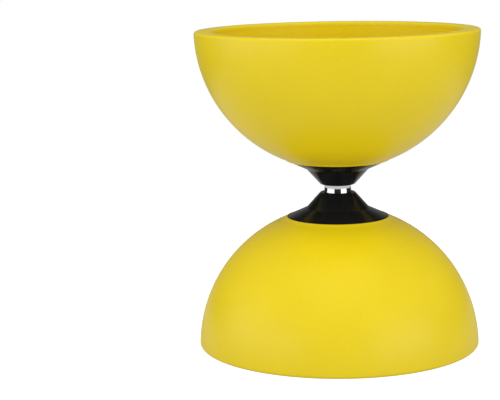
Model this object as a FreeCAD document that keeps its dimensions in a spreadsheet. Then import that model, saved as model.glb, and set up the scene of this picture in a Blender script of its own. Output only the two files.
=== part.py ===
"""Large rubber-cup diabolo with a ball-bearing axle, as an assembly of separate pieces.

Millimetres, +Z up. The diabolo stands on its lower rim: the origin is the centre of that
rim's plane, and +Z is the axle. Both halves are the same, so every piece of a half is drawn
once with its heights measured from the middle of the axle, then placed upright for the upper
half and turned over for the lower half.
"""
import FreeCAD, Part
import math
import os
import Sketcher

SIZES = (
    ("rim_diameter", 130.0, "cup, outside, across the mouth"),
    ("bowl_depth", 59.6, "cup, rim plane to the edge of the hub seat"),
    ("bowl_wall", 3.7, "cup, thickness of the bowl"),
    ("crown_thickness", 3.7, "cup, between hub seat and inner floor"),
    ("collar_depth", 13.5, "cup, depth of the thickened collar behind the rim"),
    ("collar_step", 2.35, "cup, how far the collar stands in from the bowl's wall"),
    ("rim_outer_round", 1.2, "cup, rim's outer edge radius"),
    ("rim_inner_round", 1.0, "cup, rim's inner edge radius"),
    ("collar_round", 1.0, "cup, radius at the collar's inner end"),
    ("floor_round", 3.0, "cup, radius between inner floor and bowl"),
    ("seat_recess", 0.5, "cup, how deep the hub's flange is let into the crown"),
    ("seat_gap", 0.3, "between the hub's flange and the recess round it"),
    ("seat_round", 0.3, "cup, radius on the edge of the recess"),
    ("lip_gap", 3.5, "between the two hub lips, where the string runs"),
    ("lip_width", 1.25, "hub, width of the lip round its mouth"),
    ("lip_outer_round", 1.6, "hub, lip's outer radius"),
    ("lip_inner_round", 0.4, "hub, lip's inner radius"),
    ("cone_height", 7.35, "hub, lip to the kink where the cone flattens"),
    ("kink_diameter", 29.0, "hub, across the kink"),
    ("kink_round", 0.6, "hub, radius in the kink"),
    ("flare_height", 3.9, "hub, kink to the flange's front edge"),
    ("flange_diameter", 46.0, "hub, across the flange"),
    ("flange_edge", 0.8, "hub, thickness of the flange at its edge"),
    ("flange_round", 0.35, "hub, radius on the flange's front edge"),
    ("hub_wall", 2.2, "hub, wall left between the pockets and the cone"),
    ("core_bore_wall", 2.0, "hub, wall left between the pockets and the hexagon's corners"),
    ("core_angle", 46.0, "hub, degrees taken by each pocket in the back"),
    ("spigot_flats", 13.0, "hub, hexagonal spigot across flats"),
    ("spigot_gap", 0.1, "between spigot and cup, on each flat"),
    ("spigot_short", 0.3, "how far the spigot stops below the cup's inner floor"),
    ("rod_diameter", 6.0, "axle rod"),
    ("rod_chamfer", 0.6, "axle rod, end chamfer"),
    ("rod_stickout", 3.0, "axle rod, length standing out of the lock nut"),
    ("rod_clearance", 0.1, "rod in hub and clamp plate, on the radius"),
    ("slip_clearance", 0.02, "rod in inner races and spacers, on the radius"),
    ("bearing_diameter", 10.0, "bearing, outside"),
    ("bearing_width", 3.0, "bearing"),
    ("pitch_diameter", 8.0, "bearing, circle through the ball centres"),
    ("ball_diameter", 1.2, "bearing"),
    ("ball_clearance", 0.03, "between ball and race groove, on the radius"),
    ("pocket_clearance", 0.05, "between ball and cage pocket, on the radius"),
    ("inner_land", 7.2, "bearing, outside diameter of the inner race"),
    ("outer_land", 8.8, "bearing, inside diameter of the outer race"),
    ("cage_wall", 0.5, "bearing cage, radial thickness"),
    ("cage_width", 1.8, "bearing cage"),
    ("shield_thickness", 0.2, "bearing shield"),
    ("shield_inset", 0.25, "bearing shield's seat, depth from the race face"),
    ("shield_bite", 0.15, "bearing shield's seat, step in the outer race"),
    ("shield_gap", 0.1, "between shield and inner race, on the radius"),
    ("middle_spacer_length", 1.0, "between the inner races"),
    ("race_spacer_length", 0.9, "between inner race and hub"),
    ("sleeve_wall", 1.3, "axle sleeve, round the bearings"),
    ("sleeve_overhang", 0.5, "axle sleeve, past the bearing's outer face"),
    ("sleeve_shoulder", 0.4, "axle sleeve, height of the shoulder between bearings"),
    ("sleeve_chamfer", 0.2, "axle sleeve, ends"),
    ("waist_depth", 0.16, "axle sleeve, how much slimmer its middle is, on the radius"),
    ("waist_flat", 0.5, "axle sleeve, straight length of the waist"),
    ("waist_flare", 1.3, "axle sleeve, length of the flare at each end of the waist"),
    ("mouth_clearance", 0.3, "between sleeve and hub mouth, on the radius"),
    ("plate_diameter", 34.0, "clamp plate"),
    ("plate_edge", 1.4, "clamp plate, thickness at its edge"),
    ("plate_height", 3.2, "clamp plate, thickness at its middle"),
    ("plate_boss", 17.0, "clamp plate, diameter of the flat middle"),
    ("plate_round", 0.5, "clamp plate, edge radius"),
    ("washer_diameter", 12.0, "washer, outside"),
    ("washer_thickness", 1.6, "washer"),
    ("washer_clearance", 0.2, "washer on rod, on the radius"),
    ("washer_chamfer", 0.25, "washer, edge"),
    ("nut_flats", 10.0, "lock nut, across flats"),
    ("nut_hex_height", 4.6, "lock nut, height of the hexagon"),
    ("nut_height", 6.0, "lock nut, with its collar"),
    ("nut_chamfer", 30.0, "lock nut, degrees that the chamfer on its corners slopes"),
    ("nut_collar", 9.0, "lock nut, diameter of the collar"),
    ("collar_round_top", 0.5, "lock nut, radius on the collar's top edge"),
    ("insert_diameter", 8.0, "lock nut, nylon ring, outside"),
    ("insert_height", 1.3, "lock nut, nylon ring"),
    ("insert_lip", 0.3, "lock nut, rolled lip over the nylon ring"),
    ("insert_cover", 0.5, "lock nut, how far the lip covers the nylon ring"),
)
BALL_COUNT = 10
CORE_COUNT = 6
# How far a cut or a joined solid runs past the face that it meets.
OVERRUN = 0.5
# The largest fillets that the faces beside them leave room for, as shares of those faces.
SEAT_SHARE = 0.6
LIP_OUTER_SHARE = 1.3
LIP_INNER_SHARE = 0.3
EDGE_SHARE = 0.5
SIDES = (("upper", 0.0), ("lower", 180.0))

doc = FreeCAD.newDocument("diabolo")
sheet = doc.addObject("Spreadsheet::Sheet", "Sizes")
for line_number, (alias, number, meaning) in enumerate(SIZES, start=1):
    sheet.set(f"A{line_number}", alias)
    sheet.set(f"B{line_number}", str(number))
    sheet.set(f"C{line_number}", meaning)
    sheet.setAlias(f"B{line_number}", alias)
doc.recompute()


class Size:
    """A number together with the sheet expression that gives it."""

    def __init__(self, value, text):
        self.value = value
        self.text = text

    def __add__(self, other):
        other = as_size(other)
        return Size(self.value + other.value, f"({self.text} + {other.text})")

    def __sub__(self, other):
        other = as_size(other)
        return Size(self.value - other.value, f"({self.text} - {other.text})")

    def __mul__(self, other):
        other = as_size(other)
        return Size(self.value * other.value, f"({self.text} * {other.text})")

    def __truediv__(self, other):
        other = as_size(other)
        return Size(self.value / other.value, f"({self.text} / {other.text})")

    def __neg__(self):
        return self * -1.0


def as_size(thing):
    return thing if isinstance(thing, Size) else Size(float(thing), f"({float(thing)})")


def root(thing):
    return Size(math.sqrt(thing.value), f"sqrt({thing.text})")


def slope_of(degrees):
    radians = math.radians(degrees.value)
    return Size(math.tan(radians), f"tan({degrees.text} * 1 deg)")


def smaller(one, other):
    return Size(min(one.value, other.value), f"min({one.text}; {other.text})")


size = {alias: Size(float(sheet.get(alias)), f"Sizes.{alias}") for alias, _, _ in SIZES}

# Radii.
rim_radius = size["rim_diameter"] / 2
flange_radius = size["flange_diameter"] / 2
seat_radius = flange_radius + size["seat_gap"]
kink_radius = size["kink_diameter"] / 2
rod_radius = size["rod_diameter"] / 2
rod_hole = rod_radius + size["rod_clearance"]
slip_hole = rod_radius + size["slip_clearance"]
bearing_radius = size["bearing_diameter"] / 2
pitch_radius = size["pitch_diameter"] / 2
ball_radius = size["ball_diameter"] / 2
groove_radius = ball_radius + size["ball_clearance"]
inner_land_radius = size["inner_land"] / 2
outer_land_radius = size["outer_land"] / 2
shield_seat_radius = outer_land_radius + size["shield_bite"]
sleeve_radius = bearing_radius + size["sleeve_wall"]
waist_radius = sleeve_radius - size["waist_depth"]
hub_mouth_radius = sleeve_radius + size["mouth_clearance"]
lip_radius = hub_mouth_radius + size["lip_width"]

# Heights above the middle of the axle, in the order in which the pieces are stacked.
race_face = size["middle_spacer_length"] / 2
bearing_middle = race_face + size["bearing_width"] / 2
bearing_outer_face = race_face + size["bearing_width"]
sleeve_end = bearing_outer_face + size["sleeve_overhang"]
hub_floor = bearing_outer_face + size["race_spacer_length"]
lip_height = size["lip_gap"] / 2
kink_height = lip_height + size["cone_height"]
flange_height = kink_height + size["flare_height"]
seat_height = flange_height + size["flange_edge"]
bowl_edge = seat_height - size["seat_recess"]
rim_height = bowl_edge + size["bowl_depth"]
floor_height = seat_height + size["crown_thickness"]
washer_height = floor_height + size["plate_height"]
nut_height = washer_height + size["washer_thickness"]
rod_end = nut_height + size["nut_height"] + size["rod_stickout"]

# The bowl is part of a sphere through the rim's outer edge and the edge of the hub seat.
# Its centre lies on the axle, this far beyond the rim plane.
sphere_offset = (rim_radius * rim_radius - seat_radius * seat_radius
                 - size["bowl_depth"] * size["bowl_depth"]) / (size["bowl_depth"] * 2)
sphere_height = rim_height + sphere_offset
sphere_radius = root(rim_radius * rim_radius + sphere_offset * sphere_offset)

# The mouth is narrower than the bowl's inner wall by the step at the end of the collar.
inner_sphere_radius = sphere_radius - size["bowl_wall"]
collar_end = rim_height - size["collar_depth"]
collar_rise = sphere_height - collar_end
collar_reach = root(inner_sphere_radius * inner_sphere_radius - collar_rise * collar_rise)
mouth_radius = collar_reach - size["collar_step"]

axis_zero = as_size(0.0)


def new_body(label, height, turn):
    """A body whose own origin is the middle of the axle or a face of the piece."""
    body = doc.addObject("PartDesign::Body", label)
    body.Label = label
    place(body, height, turn)
    return body


def place(item, height, turn):
    """Stand a piece at a height above the axle's middle, turned over for the lower half."""
    above = rim_height + height if turn == 0.0 else rim_height - height
    turned_over = FreeCAD.Rotation(FreeCAD.Vector(1, 0, 0), turn)
    item.Placement = FreeCAD.Placement(FreeCAD.Vector(0, 0, above.value), turned_over)
    item.setExpression("Placement.Base.z", above.text)


def origin_feature(body, role):
    return next(item for item in body.Origin.OriginFeatures if item.Role == role)


def hold(sketch, kind, edge, point, length):
    """Bind one coordinate or radius of a sketch to the sheet."""
    if point:
        number = sketch.addConstraint(Sketcher.Constraint(kind, edge, point, length.value))
    else:
        number = sketch.addConstraint(Sketcher.Constraint(kind, edge, length.value))
    sketch.setExpression(f"Constraints[{number}]", length.text)


def add_edge(sketch, begin, end, arc):
    """Add one edge of an outline and return its number and its two point positions."""
    if arc is None:
        return sketch.addGeometry(Part.LineSegment(begin, end)), 1, 2
    centre = FreeCAD.Vector(arc[0].value, arc[1].value, 0)
    angles = [math.atan2(point.y - centre.y, point.x - centre.x) for point in (begin, end)]
    forward = (angles[1] - angles[0]) % (2 * math.pi) < math.pi
    if not forward:
        angles.reverse()
    circle = Part.Circle(centre, FreeCAD.Vector(0, 0, 1), arc[2].value)
    edge = sketch.addGeometry(Part.ArcOfCircle(circle, angles[0], angles[1]))
    hold(sketch, "DistanceX", edge, 3, arc[0])
    hold(sketch, "DistanceY", edge, 3, arc[1])
    hold(sketch, "Radius", edge, 0, arc[2])
    return (edge, 1, 2) if forward else (edge, 2, 1)


def outline(body, name, plane, corners, arcs=None):
    """Closed outline on one of the body's origin planes.

    A corner is (across, up) or (across, up, which), where which says the only coordinate
    that is held because an arc gives the other. arcs maps the number of the corner that an
    arc starts from to its (centre across, centre up, radius).
    """
    arcs = arcs or {}
    sketch = body.newObject("Sketcher::SketchObject", name)
    sketch.AttachmentSupport = (origin_feature(body, plane), "")
    sketch.MapMode = "FlatFace"
    corners = [(as_size(c[0]), as_size(c[1]), c[2] if len(c) > 2 else "both") for c in corners]
    points = [FreeCAD.Vector(across.value, up.value, 0) for across, up, _ in corners]
    edges = []
    for number, begin in enumerate(points):
        end = points[(number + 1) % len(points)]
        edges.append(add_edge(sketch, begin, end, arcs.get(number)))
    for number, (edge, first, last) in enumerate(edges):
        after, after_first, _ = edges[(number + 1) % len(edges)]
        sketch.addConstraint(Sketcher.Constraint("Coincident", edge, last, after, after_first))
        across, up, which = corners[number]
        if which != "up":
            hold(sketch, "DistanceX", edge, first, across)
        if which != "across":
            hold(sketch, "DistanceY", edge, first, up)
    return sketch


def ring(body, name, corners, arcs=None):
    """Turn an outline in the XZ plane once round the axle to make solid material."""
    sketch = outline(body, name + "_outline", "XZ_Plane", corners, arcs)
    feature = body.newObject("PartDesign::Revolution", name)
    feature.Profile = sketch
    feature.ReferenceAxis = (sketch, ["V_Axis"])
    feature.Angle = 360.0
    return feature


def turned_cut(body, name, corners, angle=None):
    """Cut an outline in the XZ plane away, all round the axle or over one angle."""
    sketch = outline(body, name + "_outline", "XZ_Plane", corners)
    feature = body.newObject("PartDesign::Groove", name)
    feature.Profile = sketch
    feature.ReferenceAxis = (sketch, ["V_Axis"])
    if angle is None:
        feature.Angle = 360.0
    else:
        feature.Angle = angle.value
        feature.setExpression("Angle", angle.text)
    return feature


def hexagon(flats):
    """Corners of a hexagon on the axle, given its size across flats."""
    half = flats / 2
    corner = flats / math.sqrt(3)
    side = corner / 2
    return [(corner, 0), (side, half), (-side, half), (-corner, 0), (-side, -half), (side, -half)]


def round_table(body, original, count):
    """Repeat a feature round the axle."""
    pattern = body.newObject("PartDesign::PolarPattern", original.Name + "_pattern")
    pattern.Originals = [original]
    pattern.Axis = (origin_feature(body, "Z_Axis"), [""])
    pattern.Angle = 360.0
    pattern.Occurrences = count
    body.Tip = pattern
    return pattern


def soften(body, kind, name, base, amount, rings):
    """Fillet or chamfer the circular edges at the given (radius, height) pairs."""
    doc.recompute()
    found = []
    for number, edge in enumerate(base.Shape.Edges, start=1):
        if not isinstance(edge.Curve, Part.Circle):
            continue
        for radius, height in rings:
            same_radius = abs(edge.Curve.Radius - radius.value) < 0.001
            if same_radius and abs(edge.Curve.Center.z - height.value) < 0.001:
                found.append(f"Edge{number}")
    if len(found) < len(rings):
        raise RuntimeError(f"{body.Label}: {name} found {len(found)} edges of {len(rings)}")
    feature = body.newObject("PartDesign::" + kind, name)
    feature.Base = (base, found)
    sizing = "Radius" if kind == "Fillet" else "Size"
    setattr(feature, sizing, amount.value)
    feature.setExpression(sizing, amount.text)
    return feature


def make_cup(side, turn):
    """Moulded rubber cup: a bowl with a thickened collar at its rim and a hexagonal hole."""
    body = new_body(f"cup_{side}", axis_zero, turn)
    floor_rise = sphere_height - floor_height
    floor_reach = root(inner_sphere_radius * inner_sphere_radius - floor_rise * floor_rise)
    corners = [
        (0, seat_height),
        (seat_radius, seat_height),
        (seat_radius, bowl_edge, "across"),
        (rim_radius, rim_height, "up"),
        (mouth_radius, rim_height),
        (mouth_radius, collar_end),
        (collar_reach, collar_end, "up"),
        (floor_reach, floor_height, "up"),
        (0, floor_height),
    ]
    outer_arc = (axis_zero, sphere_height, sphere_radius)
    inner_arc = (axis_zero, sphere_height, inner_sphere_radius)
    bowl = ring(body, "bowl", corners, {2: outer_arc, 6: inner_arc})
    rim = soften(body, "Fillet", "rim_outer", bowl, size["rim_outer_round"],
                 [(rim_radius, rim_height)])
    rim = soften(body, "Fillet", "rim_inner", rim, size["rim_inner_round"],
                 [(mouth_radius, rim_height)])
    rim = soften(body, "Fillet", "collar_inner", rim, size["collar_round"],
                 [(mouth_radius, collar_end)])
    seat_round = smaller(size["seat_round"], size["seat_recess"] * SEAT_SHARE)
    seat = soften(body, "Fillet", "seat_edge", rim, seat_round, [(seat_radius, bowl_edge)])
    soften(body, "Fillet", "floor_corner", seat, size["floor_round"],
           [(floor_reach, floor_height)])
    opening = outline(body, "spigot_hole_outline", "XY_Plane",
                      hexagon(size["spigot_flats"] + size["spigot_gap"] * 2))
    hole = body.newObject("PartDesign::Pocket", "spigot_hole")
    hole.Profile = opening
    hole.Type = "ThroughAll"
    hole.Reversed = True
    return body


def make_hub(side, turn):
    """Black moulded hub: steep cone, flat flare, flange, and a hexagonal spigot behind."""
    body = new_body(f"hub_cone_{side}", axis_zero, turn)
    corners = [
        (0, lip_height),
        (lip_radius, lip_height),
        (kink_radius, kink_height),
        (flange_radius, flange_height),
        (flange_radius, seat_height),
        (0, seat_height),
    ]
    cone = ring(body, "cone", corners)
    lip_round = smaller(size["lip_outer_round"], size["lip_width"] * LIP_OUTER_SHARE)
    shaped = soften(body, "Fillet", "lip_outer", cone, lip_round, [(lip_radius, lip_height)])
    shaped = soften(body, "Fillet", "kink", shaped, size["kink_round"],
                    [(kink_radius, kink_height)])
    flange_round = smaller(size["flange_round"], size["flange_edge"] * EDGE_SHARE)
    soften(body, "Fillet", "flange_edge", shaped, flange_round,
           [(flange_radius, flange_height)])
    spigot_outline = outline(body, "spigot_outline", "XY_Plane", hexagon(size["spigot_flats"]))
    spigot_outline.AttachmentOffset = FreeCAD.Placement(
        FreeCAD.Vector(0, 0, seat_height.value), FreeCAD.Rotation())
    spigot_outline.setExpression("AttachmentOffset.Base.z", seat_height.text)
    spigot = body.newObject("PartDesign::Pad", "spigot")
    spigot.Profile = spigot_outline
    spigot_length = size["crown_thickness"] - size["spigot_short"]
    spigot.Length = spigot_length.value
    spigot.setExpression("Length", spigot_length.text)
    top = seat_height + size["crown_thickness"]
    bore = turned_cut(body, "bore", [
        (0, lip_height - OVERRUN),
        (hub_mouth_radius, lip_height - OVERRUN),
        (hub_mouth_radius, hub_floor),
        (rod_hole, hub_floor),
        (rod_hole, top),
        (0, top),
    ])
    inner_round = smaller(size["lip_inner_round"], size["lip_width"] * LIP_INNER_SHARE)
    soften(body, "Fillet", "lip_inner", bore, inner_round, [(hub_mouth_radius, lip_height)])
    slope = size["cone_height"] / (kink_radius - lip_radius)
    core_inner = size["spigot_flats"] / math.sqrt(3) + size["core_bore_wall"]
    cone_above = lip_height + (core_inner - lip_radius) * slope
    wall_along_axle = size["hub_wall"] * root(slope * slope + 1)
    core = turned_cut(body, "back_pocket", [
        (core_inner, seat_height),
        (core_inner, cone_above + wall_along_axle),
        (kink_radius, kink_height + size["hub_wall"]),
        (kink_radius, seat_height),
    ], size["core_angle"])
    round_table(body, core, CORE_COUNT)
    return body


def make_sleeve():
    """Polished steel sleeve that the string runs on, slightly waisted, free to spin."""
    body = new_body("axle_sleeve", axis_zero, 0.0)
    half_flat = size["waist_flat"] / 2
    flare_top = half_flat + size["waist_flare"]
    depth = size["waist_depth"]
    flare_radius = (depth * depth + size["waist_flare"] * size["waist_flare"]) / (depth * 2)
    shoulder_radius = bearing_radius - size["sleeve_shoulder"]
    corners = [
        (sleeve_radius, -sleeve_end),
        (sleeve_radius, -flare_top, "up"),
        (waist_radius, -half_flat, "up"),
        (waist_radius, half_flat, "up"),
        (sleeve_radius, flare_top, "up"),
        (sleeve_radius, sleeve_end),
        (bearing_radius, sleeve_end),
        (bearing_radius, race_face),
        (shoulder_radius, race_face),
        (shoulder_radius, -race_face),
        (bearing_radius, -race_face),
        (bearing_radius, -sleeve_end),
    ]
    arc_across = waist_radius + flare_radius
    arcs = {1: (arc_across, -half_flat, flare_radius), 3: (arc_across, half_flat, flare_radius)}
    tube = ring(body, "tube", corners, arcs)
    soften(body, "Chamfer", "ends", tube, size["sleeve_chamfer"],
           [(sleeve_radius, sleeve_end), (sleeve_radius, -sleeve_end)])
    return body


def make_rod():
    """Threaded steel rod that clamps both halves together through the bearings."""
    body = new_body("axle_rod", axis_zero, 0.0)
    rod = ring(body, "rod", [(0, -rod_end), (rod_radius, -rod_end), (rod_radius, rod_end),
                             (0, rod_end)])
    soften(body, "Chamfer", "ends", rod, size["rod_chamfer"],
           [(rod_radius, rod_end), (rod_radius, -rod_end)])
    return body


def plain_ring(label, height, turn, hole, outside, length):
    """A plain ring with its lower face on the body's origin."""
    body = new_body(label, height, turn)
    ring(body, "ring", [(hole, 0), (outside, 0), (outside, length), (hole, length)])
    return body


def groove_reach(land_radius):
    """Half the width of a race's ball groove where it meets the race's land."""
    step = land_radius - pitch_radius
    return root(groove_radius * groove_radius - step * step)


def make_bearing(side, turn):
    """Miniature deep-groove ball bearing: two races, cage, ten balls and two shields."""
    half = size["bearing_width"] / 2
    shield_floor = half - size["shield_inset"]
    groove = (pitch_radius, axis_zero, groove_radius)
    outer_reach = groove_reach(outer_land_radius)
    inner_reach = groove_reach(inner_land_radius)

    outer = new_body(f"outer_race_{side}", bearing_middle, turn)
    ring(outer, "race", [
        (bearing_radius, -half),
        (bearing_radius, half),
        (shield_seat_radius, half),
        (shield_seat_radius, shield_floor),
        (outer_land_radius, shield_floor),
        (outer_land_radius, outer_reach, "across"),
        (outer_land_radius, -outer_reach, "across"),
        (outer_land_radius, -shield_floor),
        (shield_seat_radius, -shield_floor),
        (shield_seat_radius, -half),
    ], {5: groove})

    inner = new_body(f"inner_race_{side}", bearing_middle, turn)
    ring(inner, "race", [
        (slip_hole, -half),
        (inner_land_radius, -half),
        (inner_land_radius, -inner_reach, "across"),
        (inner_land_radius, inner_reach, "across"),
        (inner_land_radius, half),
        (slip_hole, half),
    ], {2: groove})

    cage = new_body(f"ball_cage_{side}", bearing_middle, turn)
    half_wall = size["cage_wall"] / 2
    half_width = size["cage_width"] / 2
    ring(cage, "band", [
        (pitch_radius - half_wall, -half_width),
        (pitch_radius + half_wall, -half_width),
        (pitch_radius + half_wall, half_width),
        (pitch_radius - half_wall, half_width),
    ])
    window = cage.newObject("Sketcher::SketchObject", "window_outline")
    window.AttachmentSupport = (origin_feature(cage, "YZ_Plane"), "")
    window.MapMode = "FlatFace"
    window_radius = ball_radius + size["pocket_clearance"]
    circle = Part.Circle(FreeCAD.Vector(), FreeCAD.Vector(0, 0, 1), window_radius.value)
    circle_number = window.addGeometry(circle)
    window.addConstraint(Sketcher.Constraint("Coincident", circle_number, 3, -1, 1))
    hold(window, "Radius", circle_number, 0, window_radius)
    pocket = cage.newObject("PartDesign::Pocket", "window")
    pocket.Profile = window
    pocket.Type = "ThroughAll"
    pocket.Reversed = True
    round_table(cage, pocket, BALL_COUNT)

    balls = []
    for number in range(BALL_COUNT):
        ball = doc.addObject("Part::Sphere", f"ball_{side}_{number + 1}")
        ball.Radius = ball_radius.value
        ball.setExpression("Radius", ball_radius.text)
        angle = 2 * math.pi * number / BALL_COUNT
        for letter, share in (("x", math.cos(angle)), ("y", math.sin(angle))):
            ball.setExpression(f"Placement.Base.{letter}", (pitch_radius * share).text)
        balls.append(ball)
    ball_set = doc.addObject("Part::Compound", f"ball_set_{side}")
    ball_set.Label = f"ball_set_{side}"
    ball_set.Links = balls
    place(ball_set, bearing_middle, turn)

    shield_hole = inner_land_radius + size["shield_gap"]
    outer_shield = bearing_middle + shield_floor
    inner_shield = bearing_middle - shield_floor - size["shield_thickness"]
    for where, height in (("outer", outer_shield), ("inner", inner_shield)):
        plain_ring(f"{where}_shield_{side}", height, turn, shield_hole, shield_seat_radius,
                   size["shield_thickness"])
    return [f"outer_race_{side}", f"inner_race_{side}", f"ball_cage_{side}",
            f"ball_set_{side}", f"outer_shield_{side}", f"inner_shield_{side}"]


def make_clamp_plate(side, turn):
    """Black plate inside the cup that spreads the nut's load over the crown."""
    body = new_body(f"clamp_plate_{side}", floor_height, turn)
    plate_radius = size["plate_diameter"] / 2
    boss_radius = size["plate_boss"] / 2
    plate = ring(body, "plate", [
        (rod_hole, 0),
        (plate_radius, 0),
        (plate_radius, size["plate_edge"]),
        (boss_radius, size["plate_height"]),
        (rod_hole, size["plate_height"]),
    ])
    plate_round = smaller(size["plate_round"], size["plate_edge"] * EDGE_SHARE)
    soften(body, "Fillet", "edge", plate, plate_round, [(plate_radius, size["plate_edge"])])
    return body


def make_washer(side, turn):
    """Flat steel washer between clamp plate and lock nut."""
    label = f"washer_{side}"
    washer_radius = size["washer_diameter"] / 2
    hole = rod_radius + size["washer_clearance"]
    body = plain_ring(label, washer_height, turn, hole, washer_radius, size["washer_thickness"])
    soften(body, "Chamfer", "edge", body.Tip, size["washer_chamfer"],
           [(washer_radius, size["washer_thickness"])])
    return body


def make_lock_nut(side, turn):
    """Hexagonal lock nut whose round collar holds a nylon ring."""
    body = new_body(f"lock_nut_{side}", nut_height, turn)
    hex_outline = outline(body, "hexagon_outline", "XY_Plane", hexagon(size["nut_flats"]))
    prism = body.newObject("PartDesign::Pad", "hexagon")
    prism.Profile = hex_outline
    prism.Length = size["nut_hex_height"].value
    prism.setExpression("Length", size["nut_hex_height"].text)
    flat_radius = size["nut_flats"] / 2
    outside = size["nut_flats"] / math.sqrt(3) + OVERRUN
    chamfer_rise = (outside - flat_radius) * slope_of(size["nut_chamfer"])
    for name, face, inward in (("lower_chamfer", axis_zero, chamfer_rise),
                               ("upper_chamfer", size["nut_hex_height"], -chamfer_rise)):
        turned_cut(body, name, [(flat_radius, face), (outside, face), (outside, face + inward)])
    collar_radius = size["nut_collar"] / 2
    collar = ring(body, "collar", [
        (0, size["nut_hex_height"] - OVERRUN),
        (collar_radius, size["nut_hex_height"] - OVERRUN),
        (collar_radius, size["nut_height"]),
        (0, size["nut_height"]),
    ])
    soften(body, "Fillet", "collar_top", collar, size["collar_round_top"],
           [(collar_radius, size["nut_height"])])
    insert_radius = size["insert_diameter"] / 2
    lip_hole = insert_radius - size["insert_cover"]
    insert_top = size["nut_height"] - size["insert_lip"]
    insert_floor = insert_top - size["insert_height"]
    turned_cut(body, "thread_bore", [
        (0, 0),
        (rod_radius, 0),
        (rod_radius, insert_floor),
        (insert_radius, insert_floor),
        (insert_radius, insert_top),
        (lip_hole, insert_top),
        (lip_hole, size["nut_height"]),
        (0, size["nut_height"]),
    ])
    plain_ring(f"nut_insert_{side}", nut_height + insert_floor, turn, rod_radius, insert_radius,
               size["insert_height"])
    return body


nodes = ["axle_sleeve", "axle_rod", "middle_spacer"]
make_sleeve()
make_rod()
plain_ring("middle_spacer", -race_face, 0.0, slip_hole, inner_land_radius,
           size["middle_spacer_length"])
for side, turn in SIDES:
    make_cup(side, turn)
    make_hub(side, turn)
    nodes += make_bearing(side, turn)
    plain_ring(f"race_spacer_{side}", bearing_outer_face, turn, slip_hole, inner_land_radius,
               size["race_spacer_length"])
    make_clamp_plate(side, turn)
    make_washer(side, turn)
    make_lock_nut(side, turn)
    nodes += [f"{piece}_{side}" for piece in ("cup", "hub_cone", "race_spacer", "clamp_plate",
                                              "washer", "lock_nut", "nut_insert")]
doc.recompute()

for item in doc.Objects:
    if "Invalid" in item.State or "Error" in item.State:
        raise RuntimeError(f"{item.Name} failed: {item.State}")
pieces = {node: doc.getObjectsByLabel(node)[0] for node in nodes}
for node, piece in pieces.items():
    wanted = BALL_COUNT if node.startswith("ball_set") else 1
    if piece.Shape.isNull() or not piece.Shape.isValid() or len(piece.Shape.Solids) != wanted:
        raise RuntimeError(f"{node} has no valid shape")

os.makedirs("parts", exist_ok=True)
for node, piece in pieces.items():
    piece.Shape.exportStep(f"parts/{node}.step")
    print(f"{node:22s} {piece.Shape.Volume:12.3f} mm3")
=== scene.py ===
"""Large rubber-cup diabolo with a ball-bearing axle, standing on its lower rim.

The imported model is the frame: Blender metres, +Z up the axle, the origin in the middle of
the lower rim. Outlines are in millimetres, with heights measured along the axle from its
middle, so that one outline serves the upper and the lower half.
"""

import math

import bmesh
import bpy
from mathutils import Matrix, Vector


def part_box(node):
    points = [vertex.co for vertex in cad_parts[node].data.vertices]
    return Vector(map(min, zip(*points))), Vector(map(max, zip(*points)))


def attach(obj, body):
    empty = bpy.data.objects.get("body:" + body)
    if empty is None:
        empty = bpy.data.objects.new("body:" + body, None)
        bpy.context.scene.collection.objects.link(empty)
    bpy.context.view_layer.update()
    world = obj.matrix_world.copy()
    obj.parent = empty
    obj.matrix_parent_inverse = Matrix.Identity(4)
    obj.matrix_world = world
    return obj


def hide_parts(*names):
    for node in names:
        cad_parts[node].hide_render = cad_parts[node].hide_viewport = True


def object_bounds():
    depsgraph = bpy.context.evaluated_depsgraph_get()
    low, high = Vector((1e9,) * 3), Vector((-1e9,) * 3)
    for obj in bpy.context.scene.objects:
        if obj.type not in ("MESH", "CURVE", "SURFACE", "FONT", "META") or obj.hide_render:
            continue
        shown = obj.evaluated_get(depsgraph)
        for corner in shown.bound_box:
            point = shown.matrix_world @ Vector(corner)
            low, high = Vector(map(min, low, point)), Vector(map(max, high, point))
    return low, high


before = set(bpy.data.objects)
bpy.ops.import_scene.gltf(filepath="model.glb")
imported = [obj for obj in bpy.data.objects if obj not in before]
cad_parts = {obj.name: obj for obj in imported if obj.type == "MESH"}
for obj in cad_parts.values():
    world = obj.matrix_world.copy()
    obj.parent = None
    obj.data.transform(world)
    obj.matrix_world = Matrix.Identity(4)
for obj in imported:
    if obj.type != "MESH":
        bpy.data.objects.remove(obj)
cad_low, cad_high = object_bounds()
MM = 0.001
middle = (cad_low.z + cad_high.z) / 2


# ---------------------------------------------------------------------------------------
# Camera. A long portrait lens, looking slightly down from a little above the diabolo, which
# stands right of the middle of the view.
camera_distance = 0.714
camera_above_middle = 0.1163
camera_yaw = math.radians(-3.26)
camera_pitch = math.radians(9.67)
camera_roll = math.radians(-0.99)
camera_lens = 112.6
film_width = 36.0

camera = bpy.data.objects.new("camera", bpy.data.cameras.new("camera"))
camera.data.sensor_width = film_width
camera.data.lens = camera_lens
camera.data.clip_start = 0.02
camera.data.clip_end = 20.0
camera.matrix_world = (
    Matrix.Translation((0, -camera_distance, middle + camera_above_middle))
    @ Matrix.Rotation(-camera_yaw, 4, "Z")
    @ Matrix.Rotation(math.pi / 2 - camera_pitch, 4, "X")
    @ Matrix.Rotation(camera_roll, 4, "Z")
)
bpy.context.collection.objects.link(camera)
bpy.context.scene.camera = camera
bpy.context.scene.view_settings.view_transform = "Standard"


# ---------------------------------------------------------------------------------------
# Studio. A round white table-top with nothing but white paper round it, a wide softbox on
# each side and another high up in front. Their strengths are not taken from real lamps.
def srgb(code):
    """Linear colour of an sRGB hex code."""
    shares = [int(code[start:start + 2], 16) / 255 for start in (0, 2, 4)]
    linear = [s / 12.92 if s <= 0.04045 else ((s + 0.055) / 1.055) ** 2.4 for s in shares]
    return (*linear, 1.0)


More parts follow.
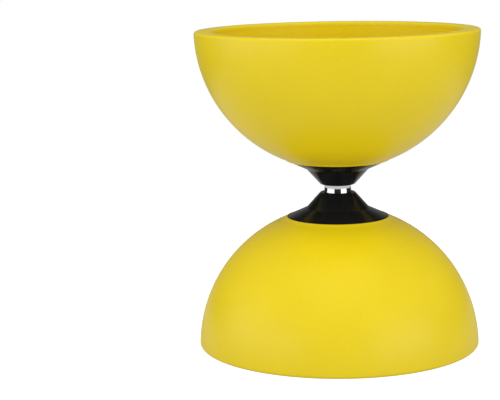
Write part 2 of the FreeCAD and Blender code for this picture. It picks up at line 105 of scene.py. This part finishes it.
def add_node(tree, kind, settings=None, inputs=None):
    """Add a node, set its properties, and set or link its inputs."""
    node = tree.nodes.new(kind)
    for name, value in (settings or {}).items():
        setattr(node, name, value)
    for name, value in (inputs or {}).items():
        if isinstance(value, bpy.types.NodeSocket):
            tree.links.new(value, node.inputs[name])
        else:
            node.inputs[name].default_value = value
    return node


def new_material(name):
    """An empty node material and its tree."""
    material = bpy.data.materials.new(name)
    material.use_nodes = True
    material.node_tree.nodes.clear()
    return material, material.node_tree


def finish_material(tree, shader):
    """Send a shader to the material's output."""
    add_node(tree, "ShaderNodeOutputMaterial", inputs={"Surface": shader.outputs[0]})


def mesh_object(name, bm):
    """Turn a bmesh into an object that sits at the origin."""
    mesh = bpy.data.meshes.new(name)
    bm.to_mesh(mesh)
    bm.free()
    item = bpy.data.objects.new(name, mesh)
    bpy.context.collection.objects.link(item)
    return item


# Matt white acrylic. It glows nearly as white as the paper where the camera sees it, and
# throws less light than that back on the diabolo.
table_radius = 0.4
table_glow = 0.17
table_white = 0.9
acrylic, tree = new_material("matt_white_acrylic")
seen = add_node(tree, "ShaderNodeLightPath")
glow = add_node(tree, "ShaderNodeMapRange", inputs={
    "Value": seen.outputs["Is Camera Ray"], "To Min": table_glow, "To Max": table_white})
finish_material(tree, add_node(tree, "ShaderNodeBsdfPrincipled", inputs={
    "Base Color": srgb("ABABAB"), "Roughness": 0.6, "Specular IOR Level": 0.0,
    "Emission Color": srgb("FFFFFF"), "Emission Strength": glow.outputs["Result"]}))
bm = bmesh.new()
bmesh.ops.create_circle(bm, cap_ends=True, segments=96, radius=table_radius)
floor = mesh_object("table_top", bm)
floor.data.materials.append(acrylic)

# White paper all round, as the camera sees it. It fills the shadows evenly, but mirrors see
# a dark room that turns light only behind the diabolo.
paper_white = 1.0
paper_fill = 0.72
room_dark = 0.02
room_light = 0.26

world = bpy.data.worlds.new("studio")
world.use_nodes = True
world.cycles.sampling_method = "NONE"
bpy.context.scene.world = world
tree = world.node_tree
tree.nodes.clear()
direction = add_node(tree, "ShaderNodeTexCoord")
parts = add_node(tree, "ShaderNodeSeparateXYZ", inputs={"Vector": direction.outputs["Generated"]})
behind = add_node(tree, "ShaderNodeMapRange", {"interpolation_type": "SMOOTHSTEP"}, {
    "Value": parts.outputs["Y"], "From Min": 0.75, "From Max": 0.95, "To Min": room_dark,
    "To Max": room_light})
seen = add_node(tree, "ShaderNodeLightPath")
lit = add_node(tree, "ShaderNodeMix", {"data_type": "FLOAT"}, {
    "Factor": seen.outputs["Is Glossy Ray"], "A": paper_fill, "B": behind.outputs["Result"]})
strength = add_node(tree, "ShaderNodeMix", {"data_type": "FLOAT"}, {
    "Factor": seen.outputs["Is Camera Ray"], "A": lit.outputs["Result"], "B": paper_white})
sky = add_node(tree, "ShaderNodeBackground", inputs={
    "Color": srgb("FFFFFF"), "Strength": strength.outputs["Result"]})
add_node(tree, "ShaderNodeOutputWorld", inputs={"Surface": sky.outputs[0]})

softbox_distance = 1.5


def softbox(name, azimuth, elevation, width, height, power):
    """A rectangular area light aimed at the middle of the axle, angles in degrees."""
    light = bpy.data.lights.new(name, "AREA")
    light.shape = "RECTANGLE"
    light.size = width
    light.size_y = height
    light.energy = power
    item = bpy.data.objects.new(name, light)
    around, up = math.radians(azimuth), math.radians(elevation)
    away = Vector((math.sin(around) * math.cos(up), -math.cos(around) * math.cos(up),
                   math.sin(up)))
    item.location = Vector((0, 0, middle)) + away * softbox_distance
    item.rotation_euler = away.to_track_quat("Z", "Y").to_euler()
    item.visible_camera = False
    bpy.context.collection.objects.link(item)
    return item


softbox("softbox_left", azimuth=-65, elevation=3, width=2.2, height=0.9, power=7.6)
softbox("softbox_right", azimuth=54, elevation=3, width=1.46, height=0.9, power=6.4)
softbox_top = softbox("softbox_top", azimuth=0, elevation=64, width=1.6, height=1.2, power=11)
softbox_top.visible_glossy = False


# ---------------------------------------------------------------------------------------
# Axle rod. A turned steel rod with an M6 thread rolled on each end and a plain shank
# between, on which the bearings sit. It clamps both halves together.
def spun(bm, outline, steps):
    """Turn a closed outline of (radius, height) points in millimetres round the axle."""
    corners = [bm.verts.new((radius, 0, height)) for radius, height in outline]
    edges = [bm.edges.new((corners[i - 1], corners[i])) for i in range(len(corners))]
    bmesh.ops.spin(bm, geom=corners + edges, cent=(0, 0, 0), axis=(0, 0, 1),
                   angle=math.tau, steps=steps, use_merge=True, use_duplicate=False)
    bmesh.ops.remove_doubles(bm, verts=bm.verts[:], dist=0.0005)
    bmesh.ops.dissolve_degenerate(bm, dist=0.0001, edges=bm.edges[:])
    bmesh.ops.recalc_face_normals(bm, faces=bm.faces[:])


def round_rings(bm, rings, amount, segments):
    """Round the circular edges at the given (radius, height) pairs by this many mm."""
    edges = []
    for edge in bm.edges:
        for radius, height in rings:
            on_ring = [abs(math.hypot(v.co.x, v.co.y) - radius) < 0.01
                       and abs(v.co.z - height) < 0.01 for v in edge.verts]
            if all(on_ring):
                edges.append(edge)
    bmesh.ops.bevel(bm, geom=edges, offset=amount, offset_type="OFFSET", segments=segments,
                    profile=0.5, affect="EDGES", material=-1, clamp_overlap=True)


def put_in_place(bm, side):
    """Move millimetres measured from the axle's middle to metres in the frame."""
    turn = Matrix.Rotation(math.pi, 4, "X") if side == "lower" else Matrix.Identity(4)
    to_frame = Matrix.Translation((0, 0, middle)) @ turn @ Matrix.Scale(MM, 4)
    bmesh.ops.transform(bm, matrix=to_frame, verts=bm.verts[:])


def smooth(item, degrees):
    """Smooth the faces, and keep edges sharper than this angle."""
    item.data.shade_smooth()
    item.data.set_sharp_from_angle(angle=math.radians(degrees))


rod_low, rod_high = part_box("axle_rod")
rod_radius = (rod_high.x - rod_low.x) / 2 / MM
rod_end = (rod_high.z - rod_low.z) / 2 / MM
thread_pitch = 1.0
thread_depth = 0.55
thread_length = 14.0
thread_runout = 1.5
thread_flank = 2.7
thread_root = 0.17
rod_chamfer = 0.6
rows_per_turn = 10

bm = bmesh.new()
rows = int(thread_length / thread_pitch * rows_per_turn)
thread_heights = [rod_end - thread_length * (1 - row / rows) for row in range(rows + 1)]
rod_outline = [(0, -rod_end)]
rod_outline += [(rod_radius, -height) for height in reversed(thread_heights)]
rod_outline += [(rod_radius, height) for height in thread_heights]
rod_outline += [(0, rod_end)]
spun(bm, rod_outline, 48)
for vertex in bm.verts:
    reach = math.hypot(vertex.co.x, vertex.co.y)
    height = abs(vertex.co.z)
    if reach < rod_radius / 2 or height < rod_end - thread_length:
        continue
    turns = math.atan2(vertex.co.y, vertex.co.x) / math.tau
    along = (vertex.co.z / thread_pitch - turns) % 1.0
    groove = min(max(abs(along - 0.5) * thread_flank - thread_root, 0.0), 1.0)
    runout = min((height - rod_end + thread_length) / thread_runout, 1.0)
    chamfer = max(height - rod_end + rod_chamfer, 0.0)
    radius = min(rod_radius - thread_depth * groove * runout, rod_radius - chamfer)
    vertex.co.x *= radius / reach
    vertex.co.y *= radius / reach
put_in_place(bm, "upper")
axle_rod = mesh_object("axle_rod_threaded", bm)
smooth(axle_rod, 50)
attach(axle_rod, "halves")
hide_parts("axle_rod")

# Zinc-plated steel: a cool grey metal, clouded every few millimetres where the plating is
# thicker, with a fine even grain left by the plating bath.
zinc, tree = new_material("zinc_plated_steel")
place = add_node(tree, "ShaderNodeTexCoord")
clouds = add_node(tree, "ShaderNodeTexNoise", inputs={
    "Vector": place.outputs["Object"], "Scale": 1 / (2.5 * MM), "Detail": 3.0})
tint = add_node(tree, "ShaderNodeValToRGB", inputs={"Fac": clouds.outputs["Fac"]})
tint.color_ramp.elements[0].color = srgb("B4B6B8")
tint.color_ramp.elements[1].color = srgb("CFD0D2")
dull = add_node(tree, "ShaderNodeMapRange", inputs={
    "Value": clouds.outputs["Fac"], "To Min": 0.24, "To Max": 0.40})
grit = add_node(tree, "ShaderNodeTexNoise", inputs={
    "Vector": place.outputs["Object"], "Scale": 1 / (0.25 * MM), "Detail": 2.0})
marks = add_node(tree, "ShaderNodeBump", inputs={
    "Height": grit.outputs["Fac"], "Distance": 0.004 * MM, "Strength": 0.6})
finish_material(tree, add_node(tree, "ShaderNodeBsdfPrincipled", inputs={
    "Base Color": tint.outputs["Color"], "Metallic": 1.0, "Roughness": dull.outputs["Result"],
    "Normal": marks.outputs["Normal"]}))
axle_rod.data.materials.append(zinc)


# ---------------------------------------------------------------------------------------
# Bearings and spacers. Two miniature ball bearings of hardened steel, ground on every face,
# each with ten balls in a pressed brass cage between two stamped steel shields. The spacers
# are turned from the same bar and keep the inner races apart.
def dress(nodes, material):
    """Give modelled nodes a material."""
    for name in nodes:
        for material_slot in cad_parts[name].material_slots:
            material_slot.material = material


def metal(name, dark, light, roughness, grain, depth):
    """A metal with a cloudy tint and a fine grain of this size and depth in mm."""
    material, tree = new_material(name)
    place = add_node(tree, "ShaderNodeTexCoord")
    grit = add_node(tree, "ShaderNodeTexNoise", inputs={
        "Vector": place.outputs["Object"], "Scale": 1 / (grain * MM), "Detail": 3.0})
    tint = add_node(tree, "ShaderNodeValToRGB", inputs={"Fac": grit.outputs["Fac"]})
    tint.color_ramp.elements[0].color = srgb(dark)
    tint.color_ramp.elements[1].color = srgb(light)
    dull = add_node(tree, "ShaderNodeMapRange", inputs={
        "Value": grit.outputs["Fac"], "To Min": roughness * 0.8, "To Max": roughness * 1.2})
    marks = add_node(tree, "ShaderNodeBump", inputs={
        "Height": grit.outputs["Fac"], "Distance": depth * MM, "Strength": 0.5})
    finish_material(tree, add_node(tree, "ShaderNodeBsdfPrincipled", inputs={
        "Base Color": tint.outputs["Color"], "Metallic": 1.0,
        "Roughness": dull.outputs["Result"], "Normal": marks.outputs["Normal"]}))
    return material


# Ground steel is bright and slightly blue, stamped steel greyer, brass warm and yellow.
ground_steel = metal("ground_bearing_steel", "C2C4C7", "DADCDE", 0.16, 0.4, 0.002)
stamped_steel = metal("stamped_shield_steel", "A3A5A8", "BABCBE", 0.30, 0.6, 0.004)
pressed_brass = metal("pressed_brass", "B8913F", "D9B763", 0.28, 0.5, 0.004)
dress(["middle_spacer"], ground_steel)
for side in ("upper", "lower"):
    dress([f"outer_race_{side}", f"inner_race_{side}", f"ball_set_{side}",
           f"race_spacer_{side}"], ground_steel)
    dress([f"outer_shield_{side}", f"inner_shield_{side}"], stamped_steel)
    dress([f"ball_cage_{side}"], pressed_brass)


# ---------------------------------------------------------------------------------------
# Axle sleeve. A turned steel tube that the string runs on, polished and chrome plated. It
# is slightly waisted to centre the string, and spins on the bearings pressed into its ends.
def arc(across, up, radius, start, end, steps):
    """Points on a circle from one angle to another, in degrees from straight outwards."""
    angles = [math.radians(start + (end - start) * step / steps) for step in range(steps + 1)]
    return [(across + radius * math.cos(a), up + radius * math.sin(a)) for a in angles]


sleeve_low, sleeve_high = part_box("axle_sleeve")
sleeve_radius = (sleeve_high.x - sleeve_low.x) / 2 / MM
sleeve_end = (sleeve_high.z - sleeve_low.z) / 2 / MM
waist_depth = 0.16
waist_flat = 0.25
waist_flare = 1.3
sleeve_bore = 5.0
shoulder_bore = 4.6
shoulder_half = 0.5
sleeve_round = 0.2
bore_round = 0.08

flare_radius = (waist_depth ** 2 + waist_flare ** 2) / (2 * waist_depth)
flare_angle = math.degrees(math.asin(waist_flare / flare_radius))
flare_centre = sleeve_radius - waist_depth + flare_radius
lower_flare = arc(flare_centre, -waist_flat, flare_radius, 180 + flare_angle, 180, 6)
upper_flare = arc(flare_centre, waist_flat, flare_radius, 180, 180 - flare_angle, 6)
bm = bmesh.new()
spun(bm, [(sleeve_radius, -sleeve_end), *lower_flare, *upper_flare,
          (sleeve_radius, sleeve_end), (sleeve_bore, sleeve_end), (sleeve_bore, shoulder_half),
          (shoulder_bore, shoulder_half), (shoulder_bore, -shoulder_half),
          (sleeve_bore, -shoulder_half), (sleeve_bore, -sleeve_end)], 96)
round_rings(bm, [(sleeve_radius, sleeve_end), (sleeve_radius, -sleeve_end)],
            sleeve_round, 3)
round_rings(bm, [(sleeve_bore, sleeve_end), (sleeve_bore, -sleeve_end)], bore_round, 2)
put_in_place(bm, "upper")
axle_sleeve = mesh_object("axle_sleeve_polished", bm)
smooth(axle_sleeve, 40)
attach(axle_sleeve, "sleeve")
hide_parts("axle_sleeve")

# Chrome over polished steel: a mirror with hair-fine rings left by turning and by the
# string, drawn as coarse as a third of a millimetre so that they show.
chrome, tree = new_material("polished_chrome")
place = add_node(tree, "ShaderNodeTexCoord")
rings = add_node(tree, "ShaderNodeMapping", inputs={
    "Vector": place.outputs["Object"], "Scale": (1 / (25 * MM), 1 / (25 * MM), 1 / (0.3 * MM))})
lines = add_node(tree, "ShaderNodeTexNoise", inputs={
    "Vector": rings.outputs["Vector"], "Scale": 1.0, "Detail": 2.0})
dull = add_node(tree, "ShaderNodeMapRange", inputs={
    "Value": lines.outputs["Fac"], "To Min": 0.03, "To Max": 0.12})
turned = add_node(tree, "ShaderNodeBump", inputs={
    "Height": lines.outputs["Fac"], "Distance": 0.003 * MM, "Strength": 0.4})
finish_material(tree, add_node(tree, "ShaderNodeBsdfPrincipled", inputs={
    "Base Color": srgb("E9EBED"), "Metallic": 1.0, "Roughness": dull.outputs["Result"],
    "Normal": turned.outputs["Normal"]}))
axle_sleeve.data.materials.append(chrome)


# ---------------------------------------------------------------------------------------
# Hub cones. Black acetal, moulded and smooth: a steep cone up to a rounded lip, a flatter
# flare, and a flange against the cup. A hexagonal spigot behind keeps the cup from turning.
def to_hexagon(bm, radius, flats, lowest):
    """Make the ring at this radius, from a height up, a hexagon this wide across flats."""
    for vertex in bm.verts:
        reach = math.hypot(vertex.co.x, vertex.co.y)
        if abs(reach - radius) > 0.01 or vertex.co.z < lowest - 0.01:
            continue
        angle = math.degrees(math.atan2(vertex.co.y, vertex.co.x)) % 60 - 30
        wanted = flats / 2 / math.cos(math.radians(angle))
        vertex.co.x *= wanted / reach
        vertex.co.y *= wanted / reach


hub_low, hub_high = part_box("hub_cone_upper")
hub_lip = (hub_low.z - middle) / MM
hub_back = (hub_high.z - middle) / MM
hub_radius = (hub_high.x - hub_low.x) / 2 / MM
hub_mouth = 6.6
hub_floor = 4.4
lip_corner = 7.85
rod_hole = 3.1
kink = (14.5, 9.1)
flange_front = 13.0
seat_height = 13.8
spigot_flats = 13.0
spigot_ring = 7.2
lip_outer_round = 0.73
lip_inner_round = 0.4
kink_round = 0.14
flange_round = 0.2

hub_cones = {}
for side in ("upper", "lower"):
    bm = bmesh.new()
    spun(bm, [(hub_mouth, hub_lip), (lip_corner, hub_lip), kink, (hub_radius, flange_front),
              (hub_radius, seat_height), (spigot_ring, seat_height), (spigot_ring, hub_back),
              (rod_hole, hub_back), (rod_hole, hub_floor), (hub_mouth, hub_floor)], 192)
    round_rings(bm, [(lip_corner, hub_lip)], lip_outer_round, 8)
    round_rings(bm, [(hub_mouth, hub_lip)], lip_inner_round, 5)
    round_rings(bm, [kink], kink_round, 3)
    round_rings(bm, [(hub_radius, flange_front)], flange_round, 4)
    to_hexagon(bm, spigot_ring, spigot_flats, seat_height)
    put_in_place(bm, side)
    hub_cones[side] = mesh_object(f"hub_cone_{side}_moulded", bm)
    smooth(hub_cones[side], 35)
    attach(hub_cones[side], "halves")
    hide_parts(f"hub_cone_{side}")

# Black acetal: a deep black with a waxy shine, a very faint flow texture from the mould and
# a few duller patches where hands and string have rubbed it.
acetal, tree = new_material("black_acetal")
place = add_node(tree, "ShaderNodeTexCoord")
rubbed = add_node(tree, "ShaderNodeTexNoise", inputs={
    "Vector": place.outputs["Object"], "Scale": 1 / (9 * MM), "Detail": 4.0})
dull = add_node(tree, "ShaderNodeMapRange", inputs={
    "Value": rubbed.outputs["Fac"], "From Min": 0.3, "From Max": 0.75, "To Min": 0.17,
    "To Max": 0.27})
flow = add_node(tree, "ShaderNodeTexNoise", inputs={
    "Vector": place.outputs["Object"], "Scale": 1 / (0.5 * MM), "Detail": 2.0})
skin = add_node(tree, "ShaderNodeBump", inputs={
    "Height": flow.outputs["Fac"], "Distance": 0.004 * MM, "Strength": 0.5})
finish_material(tree, add_node(tree, "ShaderNodeBsdfPrincipled", inputs={
    "Base Color": srgb("191919"), "Roughness": dull.outputs["Result"], "IOR": 1.48,
    "Specular IOR Level": 0.27, "Normal": skin.outputs["Normal"]}))
for hub in hub_cones.values():
    hub.data.materials.append(acetal)


# ---------------------------------------------------------------------------------------
# Cups. Each is moulded in one piece from soft yellow rubber: a bowl that is part of a
# sphere, a thick collar behind a flat rim, and a flat crown with a hexagonal hole for the
# hub's spigot. A low bead frames the hub's seat, and a hair of flash is left in the mouth.
rim_height = (cad_high.z - middle) / MM
rim_radius = 65.0
bowl_wall = 3.7
bowl_depth = 59.6
seat_radius = 23.3
bowl_edge = 13.3
floor_height = 17.5
collar_depth = 13.5
collar_step = 2.35
flash_drop = 1.6
flash_height = 0.12
flash_width = 0.3
bead_width = 0.8
bead_flat = 0.44
bead_height = 0.2
bead_round = 0.2
rim_outer_round = 1.2
rim_inner_round = 1.0
collar_round = 1.0
floor_round = 1.2
spigot_gap = 0.1

sphere_offset = (rim_radius ** 2 - seat_radius ** 2 - bowl_depth ** 2) / (2 * bowl_depth)
sphere_height = rim_height + sphere_offset
outer_sphere = math.hypot(rim_radius, sphere_offset)
inner_sphere = outer_sphere - bowl_wall
collar_end = rim_height - collar_depth
collar_reach = math.sqrt(inner_sphere ** 2 - (sphere_height - collar_end) ** 2)
mouth_radius = collar_reach - collar_step
floor_reach = math.sqrt(inner_sphere ** 2 - (sphere_height - floor_height) ** 2)


def bowl_angle(reach, height):
    """Angle of a point of the bowl, seen from the sphere's centre."""
    return math.degrees(math.atan2(height - sphere_height, reach))


bead_reach = seat_radius + bead_width
bead_foot = sphere_height - math.sqrt(outer_sphere ** 2 - bead_reach ** 2)
bead_top = (seat_radius + bead_flat, bowl_edge - bead_height)
outer_bowl = arc(0, sphere_height, outer_sphere, bowl_angle(bead_reach, bead_foot),
                 bowl_angle(rim_radius, rim_height), 30)
inner_bowl = arc(0, sphere_height, inner_sphere, bowl_angle(collar_reach, collar_end),
                 bowl_angle(floor_reach, floor_height), 24)
flash_top = rim_height - flash_drop
cups = {}
for side in ("upper", "lower"):
    bm = bmesh.new()
    spun(bm, [(spigot_ring, seat_height), (seat_radius, seat_height),
              (seat_radius, bowl_edge - bead_height), bead_top, *outer_bowl,
              (mouth_radius, rim_height), (mouth_radius, flash_top),
              (mouth_radius - flash_height, flash_top - flash_width / 2),
              (mouth_radius, flash_top - flash_width),
              (mouth_radius, collar_end), *inner_bowl, (spigot_ring, floor_height)], 240)
    round_rings(bm, [(rim_radius, rim_height)], rim_outer_round, 8)
    round_rings(bm, [(mouth_radius, rim_height)], rim_inner_round, 6)
    round_rings(bm, [(mouth_radius, collar_end)], collar_round, 5)
    round_rings(bm, [(seat_radius, bowl_edge - bead_height), bead_top], bead_round, 3)
    round_rings(bm, [(floor_reach, floor_height)], floor_round, 5)
    to_hexagon(bm, spigot_ring, spigot_flats + 2 * spigot_gap, seat_height)
    put_in_place(bm, side)
    cups[side] = mesh_object(f"cup_{side}_moulded", bm)
    smooth(cups[side], 35)
    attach(cups[side], "halves")
    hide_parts(f"cup_{side}")

# Soft rubber from a blasted mould: a saturated yellow, matte but with a broad sheen. Its
# real grit of about 0.1 mm is drawn at 0.7 mm so that it shows, over a slight unevenness
# of colour and gloss a few centimetres across.
rubber, tree = new_material("yellow_moulded_rubber")
place = add_node(tree, "ShaderNodeTexCoord")
uneven = add_node(tree, "ShaderNodeTexNoise", inputs={
    "Vector": place.outputs["Object"], "Scale": 1 / (28 * MM), "Detail": 4.0})
tint = add_node(tree, "ShaderNodeValToRGB", inputs={"Fac": uneven.outputs["Fac"]})
tint.color_ramp.elements[0].position = 0.25
tint.color_ramp.elements[0].color = srgb("E4CA06")
tint.color_ramp.elements[1].position = 0.75
tint.color_ramp.elements[1].color = srgb("E8CE0A")
dull = add_node(tree, "ShaderNodeMapRange", inputs={
    "Value": uneven.outputs["Fac"], "From Min": 0.25, "From Max": 0.75, "To Min": 0.3,
    "To Max": 0.37})
grit = add_node(tree, "ShaderNodeTexNoise", inputs={
    "Vector": place.outputs["Object"], "Scale": 1 / (0.7 * MM), "Detail": 3.0,
    "Roughness": 0.6})
grain = add_node(tree, "ShaderNodeBump", inputs={
    "Height": grit.outputs["Fac"], "Distance": 0.05 * MM, "Strength": 0.9})
speck = add_node(tree, "ShaderNodeMapRange", inputs={
    "Value": grit.outputs["Fac"], "From Min": 0.3, "From Max": 0.7, "To Min": 0.955,
    "To Max": 1.02})
dusty = add_node(tree, "ShaderNodeMapRange", inputs={
    "Value": grit.outputs["Fac"], "From Min": 0.35, "From Max": 0.65, "To Min": 0.99,
    "To Max": 1.0})
speckled = add_node(tree, "ShaderNodeHueSaturation", inputs={
    "Color": tint.outputs["Color"], "Value": speck.outputs["Result"],
    "Saturation": dusty.outputs["Result"]})
finish_material(tree, add_node(tree, "ShaderNodeBsdfPrincipled", inputs={
    "Base Color": speckled.outputs["Color"], "Roughness": dull.outputs["Result"], "IOR": 1.5,
    "Specular IOR Level": 0.35, "Normal": grain.outputs["Normal"]}))
for cup in cups.values():
    cup.data.materials.append(rubber)


# ---------------------------------------------------------------------------------------
# Clamp plates. Inside each cup a moulded black plate spreads the nut's load. It is a low
# cone with a flat middle for the washer.
plate_low, plate_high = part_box("clamp_plate_upper")
plate_radius = (plate_high.x - plate_low.x) / 2 / MM
plate_edge = 1.4
plate_height = (plate_high.z - plate_low.z) / MM
boss_radius = 8.5
plate_round = 0.5
boss_round = 0.4

plates = {}
for side in ("upper", "lower"):
    bm = bmesh.new()
    spun(bm, [(rod_hole, floor_height), (plate_radius, floor_height),
              (plate_radius, floor_height + plate_edge),
              (boss_radius, floor_height + plate_height),
              (rod_hole, floor_height + plate_height)], 96)
    round_rings(bm, [(plate_radius, floor_height + plate_edge)], plate_round, 4)
    round_rings(bm, [(boss_radius, floor_height + plate_height)], boss_round, 3)
    put_in_place(bm, side)
    plates[side] = mesh_object(f"clamp_plate_{side}_moulded", bm)
    smooth(plates[side], 35)
    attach(plates[side], "halves")
    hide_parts(f"clamp_plate_{side}")
    plates[side].data.materials.append(acetal)


# ---------------------------------------------------------------------------------------
# Washers and lock nuts. Bought-in zinc-plated steel fasteners. The nut's collar holds a
# ring of natural nylon that grips the thread.
nylon, tree = new_material("natural_nylon")
place = add_node(tree, "ShaderNodeTexCoord")
milky = add_node(tree, "ShaderNodeTexNoise", inputs={
    "Vector": place.outputs["Object"], "Scale": 1 / (1.5 * MM), "Detail": 2.0})
tint = add_node(tree, "ShaderNodeValToRGB", inputs={"Fac": milky.outputs["Fac"]})
tint.color_ramp.elements[0].color = srgb("E2E0D6")
tint.color_ramp.elements[1].color = srgb("EFEEE6")
finish_material(tree, add_node(tree, "ShaderNodeBsdfPrincipled", inputs={
    "Base Color": tint.outputs["Color"], "Roughness": 0.42, "IOR": 1.53}))
for side in ("upper", "lower"):
    dress([f"washer_{side}", f"lock_nut_{side}"], zinc)
    dress([f"nut_insert_{side}"], nylon)
